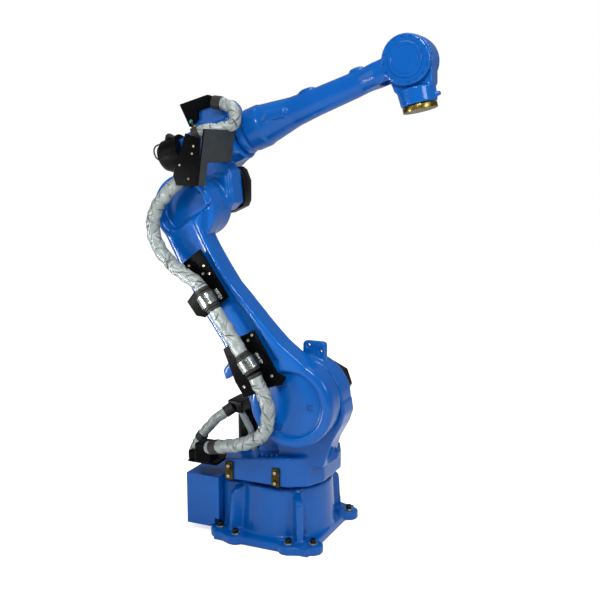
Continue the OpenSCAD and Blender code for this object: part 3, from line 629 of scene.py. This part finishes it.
# wrist rim screws: a painted ring on either side
rimScrew = {"head": 0.008, "radius": 0.104, "count": 16, "first": 11}
rimSpots = ringSpots(wrist + wristHalf * near, rimScrew["radius"], rimScrew["count"], rimScrew["first"],
                     foreAlong, foreUp)
scatter("wristRimNear", socketScrew(rimScrew["head"]), rimSpots, near, bluePaint, "forearm")
scatter("wristRimFar", socketScrew(rimScrew["head"]), rimSpots * (1, -1, 1), -near, bluePaint, "forearm")

# bracket screws: places along the lower arm and towards its front
bracketScrew = {
    "head": 0.013, "spots": ((0.772, -0.028), (0.742, -0.052), (0.726, -0.022), (0.812, -0.100),
                             (0.372, 0.020), (0.360, -0.012), (0.180, -0.150), (0.160, 0.010)),
}
bracketSpots = [armAt(along, front, sides["bracket"]) for along, front in bracketScrew["spots"]]
scatter("bracketScrews", socketScrew(bracketScrew["head"]), bracketSpots, near, washerSteel, "lower_arm")

# plate pins: places across and up on the hose plate's front
platePin = {"head": 0.010, "spots": ((-0.265, 1.952), (-0.273, 1.918), (-0.295, 1.803), (-0.341, 1.866))}
pinSpots = [(x, sides["hosePlate"], z) for x, z in platePin["spots"]]
scatter("platePins", socketScrew(platePin["head"]), pinSpots, near, washerSteel, "upper_arm")
print("stage: fasteners")

# wrist covers: turned discs with a bevelled rim and a shallow ring groove
wristCover = {
    "profile": [(0.080, 0), (0.080, 0.005), (0.077, 0.008), (0.066, 0.008), (0.0645, 0.0065),
                (0.0625, 0.0065), (0.061, 0.008), (0.004, 0.008)],
    "turn": 96,
}
for name, outward in (("wrist_cover_near", near), ("wrist_cover_far", -near)):
    points, quads = lathe(wristCover["profile"], wristCover["turn"])
    turned = points @ facing(outward).T + wrist + wristHalf * outward
    addPiece(name + "Turned", turned, quads, bluePaint, "forearm", False, (name,))

# wire loop and lead on the drum motor, and the small air tube below the top plate
wireRoutes = {
    "loop": [(-0.600, -0.120, 1.960), (-0.652, -0.120, 1.962), (-0.684, -0.110, 1.944),
             (-0.690, -0.100, 1.915), (-0.674, -0.095, 1.890), (-0.630, -0.095, 1.880)],
    "lead": [(-0.600, -0.125, 1.975), (-0.588, -0.130, 2.006), (-0.562, -0.130, 2.000),
             (-0.535, -0.125, 1.975)],
    "air": [(-0.453, -0.118, 2.085), (-0.450, -0.136, 2.072), (-0.436, -0.140, 2.060),
            (-0.424, -0.136, 2.046), (-0.420, -0.118, 2.034)],
}
# route, start and end along it, radius, seam's lead and material; an end of 1 m takes in the whole route
wires = {
    "motorWire": ("loop", 0.0, 1.0, 0.004, (0, 1, 0), cuffRubber),
    "motorLead": ("lead", 0.0, 1.0, 0.011, (0, 1, 0), cuffRubber),
    "airTube": ("air", 0.0, 1.0, 0.005, (1, 0, 0), cuffRubber),
    "airFittingHigh": ("air", 0.010, 0.030, 0.009, (1, 0, 0), fittingNylon),
    "airFittingLow": ("air", 0.048, 0.066, 0.009, (1, 0, 0), fittingBrass),
}
for name, (route, start, end, radius, lead, material) in wires.items():
    addBand(name, wireRoutes[route], start, end, radius, lead, "upper_arm", material)
print("stage: small pieces")

# camera at the photograph's viewing angle
camera = {"place": (1.91827, -4.0432, 1.91911), "azimuth": 24.46, "elevation": 9.21, "focal": 54.22,
          "sensor": 36, "farthest": 60}
lens = bpy.data.cameras.new("photoCamera")
lens.sensor_width, lens.lens, lens.clip_end = camera["sensor"], camera["focal"], camera["farthest"]
eye = bpy.data.objects.new("photoCamera", lens)
eye.location = camera["place"]
eye.rotation_euler = (math.radians(90 - camera["elevation"]), 0, math.radians(camera["azimuth"]))
scene.collection.objects.link(eye)
scene.camera = eye

# soft studio light: a key from the front, a side lamp at the right, a fill at the left and a panel above,
# with a gridded strip low at the left for the arm
# each lamp has its place, aim, width, height, power and spread in degrees
lamps = {
    "keyLamp": ((0.9, -3.8, 4.3), (0, 0, 1.5), 1.2, 1.2, 125, 180),
    "sideLamp": ((3.8, -1.8, 3.0), (0, 0, 1.3), 1.4, 1.4, 65, 180),
    "fillLamp": ((-3.8, -3.8, 2.6), (0, 0, 1.4), 2.6, 2.6, 27, 180),
    "topLamp": ((0.4, 0.6, 5.4), (0, 0, 1.0), 3.0, 3.0, 100, 180),
    "ridgeLamp": ((-1.75, -2.0, 0.68), (-0.02, -0.34, 1.35), 0.3, 1.0, 3.0, 36),
}
for name, (spot, aim, width, height, power, spread) in lamps.items():
    lamp = bpy.data.lights.new(name, "AREA")
    lamp.shape, lamp.size, lamp.size_y = "RECTANGLE", width, height
    lamp.energy, lamp.spread = power, math.radians(spread)
    holder = bpy.data.objects.new(name, lamp)
    holder.location = spot
    toward = np.array(aim) - np.array(spot)
    dip = math.acos(-toward[2] / np.linalg.norm(toward))
    holder.rotation_euler = (dip, 0, math.atan2(toward[1], toward[0]) - math.pi / 2)
    scene.collection.objects.link(holder)

# white room: full white to the camera, a softer level as light and a lower one in reflections
room = {"light": 0.42, "cameraAdds": 0.58, "glossyAdds": -0.2}
world = bpy.data.worlds.new("studio")
world.use_nodes = True
scene.world = world
tree = world.node_tree
ray = addNode(tree, "ShaderNodeLightPath")
dimmed = addNode(tree, "ShaderNodeMath", [(0, ray.outputs["Is Glossy Ray"])], operation="MULTIPLY_ADD")
dimmed.inputs[1].default_value, dimmed.inputs[2].default_value = room["glossyAdds"], room["light"]
level = addNode(tree, "ShaderNodeMath", [(0, ray.outputs["Is Camera Ray"]), (2, dimmed.outputs[0])],
                operation="MULTIPLY_ADD")
level.inputs[1].default_value = room["cameraAdds"]
tree.links.new(level.outputs[0], tree.nodes["Background"].inputs["Strength"])
tree.nodes["Background"].inputs["Color"].default_value = (1, 1, 1, 1)

# pale floor: white paper that keeps a soft shadow, lifted a little for the camera alone
paper = {"lift": 0.66, "reach": 14.0}
floorPaint = newFinish("paleFloor", ("#f4f4f4", "#f8f8f8"), 500, None, Roughness=0.9,
                       Emission_Color=(1, 1, 1, 1))
tree = floorPaint.node_tree
ray = addNode(tree, "ShaderNodeLightPath")
lift = addNode(tree, "ShaderNodeMath", [(0, ray.outputs["Is Camera Ray"])], operation="MULTIPLY")
lift.inputs[1].default_value = paper["lift"]
tree.links.new(lift.outputs[0], tree.nodes["Principled BSDF"].inputs["Emission Strength"])
corners = paper["reach"] * np.array([(-1, -1, 0), (1, -1, 0), (1, 1, 0), (-1, 1, 0)])
floor = addPiece("studioFloor", corners, [(0, 1, 2, 3)], floorPaint, None, False)

scene.view_settings.view_transform = "Standard"
print("stage: done")
